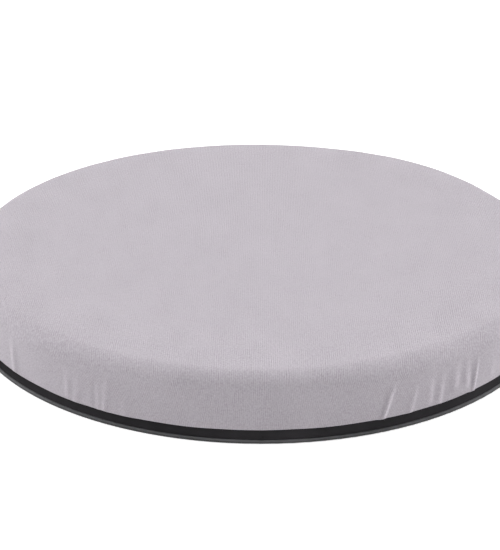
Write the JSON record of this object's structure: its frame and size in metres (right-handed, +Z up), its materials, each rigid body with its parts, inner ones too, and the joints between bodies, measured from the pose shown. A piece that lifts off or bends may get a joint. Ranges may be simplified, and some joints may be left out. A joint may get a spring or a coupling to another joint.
{
  "type": "swivel cushion pad",
  "caption": "Round fabric-covered foam pad for sitting or kneeling on, which turns on a low two-plate ball-bearing base.",
  "frame": {"origin": "on the swivel axis, at the level of the grip pads' undersides, which is the centre of the bounding box's bottom face", "axes": "+Z up along the swivel axis; -Y is the front; the pad is round, so X and Y are alike apart from the one access hole in the base plate"},
  "size_m": [0.3999, 0.4, 0.0456],
  "materials": {
    "cover_fabric": "matte",
    "foam": "matte",
    "board_wood": "matte",
    "black_plastic": "satin",
    "lip_plastic": "satin",
    "grip_rubber": "matte",
    "zinc_steel": "satin",
    "bearing_steel": "polished",
    "acetal": "satin",
    "nylon": "satin",
    "cage_plastic": "satin"
  },
  "bodies": {
    "base": {"base_plate": "lip_plastic", "grip_pad_01": "grip_rubber", "grip_pad_02": "grip_rubber", "grip_pad_03": "grip_rubber", "grip_pad_04": "grip_rubber", "grip_pad_05": "grip_rubber", "grip_pad_06": "grip_rubber", "grip_pad_07": "grip_rubber", "grip_pad_08": "grip_rubber", "pivot_rivet": "zinc_steel", "rivet_washer_bottom": "zinc_steel", "rivet_washer_top": "zinc_steel", "pivot_bush": "acetal", "thrust_washer": "nylon", "pivot_cap": "black_plastic"},
    "ball_cage": {"ball_cage": "cage_plastic", "bearing_ball_01": "bearing_steel", "bearing_ball_02": "bearing_steel", "bearing_ball_03": "bearing_steel", "bearing_ball_04": "bearing_steel", "bearing_ball_05": "bearing_steel", "bearing_ball_06": "bearing_steel", "bearing_ball_07": "bearing_steel", "bearing_ball_08": "bearing_steel", "bearing_ball_09": "bearing_steel", "bearing_ball_10": "bearing_steel", "bearing_ball_11": "bearing_steel", "bearing_ball_12": "bearing_steel", "bearing_ball_13": "bearing_steel", "bearing_ball_14": "bearing_steel", "bearing_ball_15": "bearing_steel", "bearing_ball_16": "bearing_steel", "bearing_ball_17": "bearing_steel", "bearing_ball_18": "bearing_steel", "bearing_ball_19": "bearing_steel", "bearing_ball_20": "bearing_steel", "bearing_ball_21": "bearing_steel", "bearing_ball_22": "bearing_steel", "bearing_ball_23": "bearing_steel", "bearing_ball_24": "bearing_steel"},
    "cushion": {"swivel_plate": "black_plastic", "backing_board": "board_wood", "foam_pad": "foam", "cushion_cover": "cover_fabric", "cover_staples": "zinc_steel", "pad_screws": "zinc_steel"}
  },
  "joints": [
    {"name": "swivel", "type": "hinge", "parent": "base", "child": "cushion", "pos_m": [0, 0, 0], "axis": [0, 0, 1], "continuous": true},
    {"name": "cage_spin", "type": "hinge", "parent": "base", "child": "ball_cage", "pos_m": [0, 0, 0], "axis": [0, 0, 1], "continuous": true}
  ],
  "couplings": [
    {"joint": "cage_spin", "follows": "swivel", "ratio": 0.5}
  ]
}
